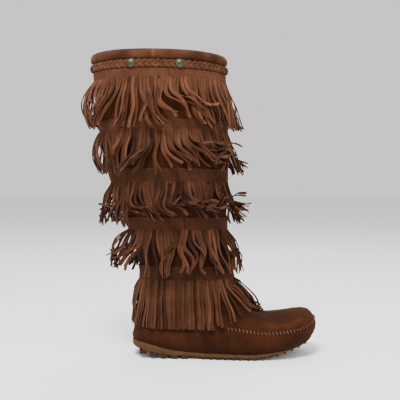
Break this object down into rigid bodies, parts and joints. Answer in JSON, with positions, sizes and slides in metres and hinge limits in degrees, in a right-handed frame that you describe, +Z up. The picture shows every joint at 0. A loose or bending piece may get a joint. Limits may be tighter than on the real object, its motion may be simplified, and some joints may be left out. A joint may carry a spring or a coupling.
{
  "type": "boot",
  "caption": "Tall brown suede moccasin boot for the right foot, with bands of fringe, a rolled collar over a plaited band with metal studs, and a low studded rubber sole",
  "frame": {"origin": "On the floor, in the middle of the resting face of the heel's middle stud in the fourth row, which lies on the sole's centre line.", "axes": "+X from the heel to the toe, +Y to the inner (medial) side of the right foot, +Z up from the floor to the collar"},
  "size_m": [0.3303, 0.1049, 0.4235],
  "materials": {
    "suede": "brushed brown suede with a short nap, matt",
    "fringe_suede": "cut suede strips, matt, a little lighter",
    "rubber": "tan to dark brown rubber, matt",
    "lining": "plain tan insole, matt",
    "metal": "dull antique metal, worn brighter on top"
  },
  "bodies": {
    "root": {"outsole": "rubber", "upper": "suede", "insole": "lining", "collar_roll": "suede", "braid": "fringe_suede", "stud_back": "metal", "stud_lateral_rear": "metal", "stud_lateral_front": "metal", "stud_front": "metal", "stud_medial_front": "metal", "stud_medial_rear": "metal", "fringe_1": "fringe_suede", "fringe_2": "fringe_suede", "fringe_3": "fringe_suede", "fringe_4": "fringe_suede", "fringe_5": "fringe_suede"}
  },
  "joints": []
}
